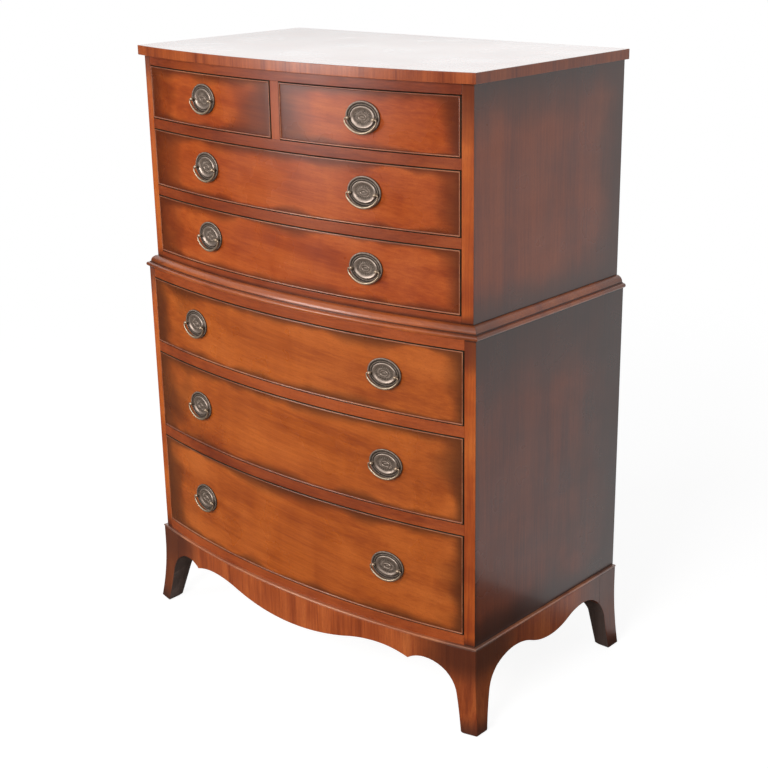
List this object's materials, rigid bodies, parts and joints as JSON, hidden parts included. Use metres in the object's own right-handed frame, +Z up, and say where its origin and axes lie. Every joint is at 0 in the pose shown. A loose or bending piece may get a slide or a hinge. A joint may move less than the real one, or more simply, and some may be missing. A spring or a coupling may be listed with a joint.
{
  "type": "chest of drawers",
  "caption": "Bow front chest on chest: short and long bowed drawers with oval plates and bail pulls, a moulded waist, and a scalloped base on splayed bracket feet.",
  "frame": {"origin": "on the floor, at the centre of the whole outline", "axes": "+Z up, -Y out of the front, so that the drawers open towards -Y, +X to the right of somebody who faces the front"},
  "size_m": [0.9704, 0.5547, 1.3055],
  "materials": {
    "drawer_front": "satin shaded mahogany veneer",
    "case_side": "satin dark mahogany veneer",
    "case_front": "satin mahogany",
    "top": "gloss mahogany veneer with cross banded edge",
    "moulding": "satin mahogany",
    "base": "satin cross grained mahogany veneer",
    "inner_wood": "bare secondary wood",
    "panel": "bare plywood",
    "pull_brass": "antiqued",
    "bail_brass": "antiqued, rubbed bright",
    "screw_steel": "zinc plated"
  },
  "bodies": {
    "case": {"top": "top", "upper_left_side": "case_side", "upper_right_side": "case_side", "lower_left_side": "case_side", "lower_right_side": "case_side", "back_panels": "panel", "upper_front_rails": "case_front", "lower_front_rails": "case_front", "short_drawer_divider": "case_front", "upper_drawer_runners": "inner_wood", "lower_drawer_runners": "inner_wood", "dust_boards": "panel", "drawer_stops": "inner_wood", "waist_moulding": "moulding", "front_apron": "base", "side_aprons": "base", "back_apron": "inner_wood", "feet": "base", "corner_blocks": "inner_wood", "screws": "screw_steel"},
    "top_left_drawer": {"top_left_drawer_front": "drawer_front", "top_left_drawer_box": "inner_wood", "top_left_drawer_bottom": "panel", "top_left_drawer_pulls": "pull_brass"},
    "top_left_drawer_bail": {"top_left_drawer_bail": "bail_brass"},
    "top_right_drawer": {"top_right_drawer_front": "drawer_front", "top_right_drawer_box": "inner_wood", "top_right_drawer_bottom": "panel", "top_right_drawer_pulls": "pull_brass"},
    "top_right_drawer_bail": {"top_right_drawer_bail": "bail_brass"},
    "second_drawer": {"second_drawer_front": "drawer_front", "second_drawer_box": "inner_wood", "second_drawer_bottom": "panel", "second_drawer_pulls": "pull_brass"},
    "second_drawer_left_bail": {"second_drawer_left_bail": "bail_brass"},
    "second_drawer_right_bail": {"second_drawer_right_bail": "bail_brass"},
    "third_drawer": {"third_drawer_front": "drawer_front", "third_drawer_box": "inner_wood", "third_drawer_bottom": "panel", "third_drawer_pulls": "pull_brass"},
    "third_drawer_left_bail": {"third_drawer_left_bail": "bail_brass"},
    "third_drawer_right_bail": {"third_drawer_right_bail": "bail_brass"},
    "fourth_drawer": {"fourth_drawer_front": "drawer_front", "fourth_drawer_box": "inner_wood", "fourth_drawer_bottom": "panel", "fourth_drawer_pulls": "pull_brass"},
    "fourth_drawer_left_bail": {"fourth_drawer_left_bail": "bail_brass"},
    "fourth_drawer_right_bail": {"fourth_drawer_right_bail": "bail_brass"},
    "fifth_drawer": {"fifth_drawer_front": "drawer_front", "fifth_drawer_box": "inner_wood", "fifth_drawer_bottom": "panel", "fifth_drawer_pulls": "pull_brass"},
    "fifth_drawer_left_bail": {"fifth_drawer_left_bail": "bail_brass"},
    "fifth_drawer_right_bail": {"fifth_drawer_right_bail": "bail_brass"},
    "bottom_drawer": {"bottom_drawer_front": "drawer_front", "bottom_drawer_box": "inner_wood", "bottom_drawer_bottom": "panel", "bottom_drawer_pulls": "pull_brass"},
    "bottom_drawer_left_bail": {"bottom_drawer_left_bail": "bail_brass"},
    "bottom_drawer_right_bail": {"bottom_drawer_right_bail": "bail_brass"}
  },
  "joints": [
    {"name": "top_left_drawer_slide", "type": "slide", "parent": "case", "child": "top_left_drawer", "axis": [0, -1, 0], "range_m": [0, 0.34]},
    {"name": "top_left_drawer_bail_swing", "type": "hinge", "parent": "top_left_drawer", "child": "top_left_drawer_bail", "pos_m": [-0.22104, -0.25054, 1.21055], "axis": [-0.9936, 0.1133, 0], "range_deg": [-6, 186]},
    {"name": "top_right_drawer_slide", "type": "slide", "parent": "case", "child": "top_right_drawer", "axis": [0, -1, 0], "range_m": [0, 0.34]},
    {"name": "top_right_drawer_bail_swing", "type": "hinge", "parent": "top_right_drawer", "child": "top_right_drawer_bail", "pos_m": [0.22104, -0.25054, 1.21055], "axis": [-0.9936, -0.1133, 0], "range_deg": [-6, 186]},
    {"name": "second_drawer_slide", "type": "slide", "parent": "case", "child": "second_drawer", "axis": [0, -1, 0], "range_m": [0, 0.34]},
    {"name": "second_drawer_left_bail_swing", "type": "hinge", "parent": "second_drawer", "child": "second_drawer_left_bail", "pos_m": [-0.22104, -0.25054, 1.07155], "axis": [-0.9936, 0.1133, 0], "range_deg": [-6, 186]},
    {"name": "second_drawer_right_bail_swing", "type": "hinge", "parent": "second_drawer", "child": "second_drawer_right_bail", "pos_m": [0.22104, -0.25054, 1.07155], "axis": [-0.9936, -0.1133, 0], "range_deg": [-6, 186]},
    {"name": "third_drawer_slide", "type": "slide", "parent": "case", "child": "third_drawer", "axis": [0, -1, 0], "range_m": [0, 0.34]},
    {"name": "third_drawer_left_bail_swing", "type": "hinge", "parent": "third_drawer", "child": "third_drawer_left_bail", "pos_m": [-0.22104, -0.25054, 0.92555], "axis": [-0.9936, 0.1133, 0], "range_deg": [-6, 186]},
    {"name": "third_drawer_right_bail_swing", "type": "hinge", "parent": "third_drawer", "child": "third_drawer_right_bail", "pos_m": [0.22104, -0.25054, 0.92555], "axis": [-0.9936, -0.1133, 0], "range_deg": [-6, 186]},
    {"name": "fourth_drawer_slide", "type": "slide", "parent": "case", "child": "fourth_drawer", "axis": [0, -1, 0], "range_m": [0, 0.35]},
    {"name": "fourth_drawer_left_bail_swing", "type": "hinge", "parent": "fourth_drawer", "child": "fourth_drawer_left_bail", "pos_m": [-0.27277, -0.26035, 0.7278], "axis": [-0.9903, 0.1386, 0], "range_deg": [-6, 186]},
    {"name": "fourth_drawer_right_bail_swing", "type": "hinge", "parent": "fourth_drawer", "child": "fourth_drawer_right_bail", "pos_m": [0.27277, -0.26035, 0.7278], "axis": [-0.9903, -0.1386, 0], "range_deg": [-6, 186]},
    {"name": "fifth_drawer_slide", "type": "slide", "parent": "case", "child": "fifth_drawer", "axis": [0, -1, 0], "range_m": [0, 0.35]},
    {"name": "fifth_drawer_left_bail_swing", "type": "hinge", "parent": "fifth_drawer", "child": "fifth_drawer_left_bail", "pos_m": [-0.27277, -0.26035, 0.5408], "axis": [-0.9903, 0.1386, 0], "range_deg": [-6, 186]},
    {"name": "fifth_drawer_right_bail_swing", "type": "hinge", "parent": "fifth_drawer", "child": "fifth_drawer_right_bail", "pos_m": [0.27277, -0.26035, 0.5408], "axis": [-0.9903, -0.1386, 0], "range_deg": [-6, 186]},
    {"name": "bottom_drawer_slide", "type": "slide", "parent": "case", "child": "bottom_drawer", "axis": [0, -1, 0], "range_m": [0, 0.35]},
    {"name": "bottom_drawer_left_bail_swing", "type": "hinge", "parent": "bottom_drawer", "child": "bottom_drawer_left_bail", "pos_m": [-0.27277, -0.26035, 0.3208], "axis": [-0.9903, 0.1386, 0], "range_deg": [-6, 186]},
    {"name": "bottom_drawer_right_bail_swing", "type": "hinge", "parent": "bottom_drawer", "child": "bottom_drawer_right_bail", "pos_m": [0.27277, -0.26035, 0.3208], "axis": [-0.9903, -0.1386, 0], "range_deg": [-6, 186]}
  ]
}
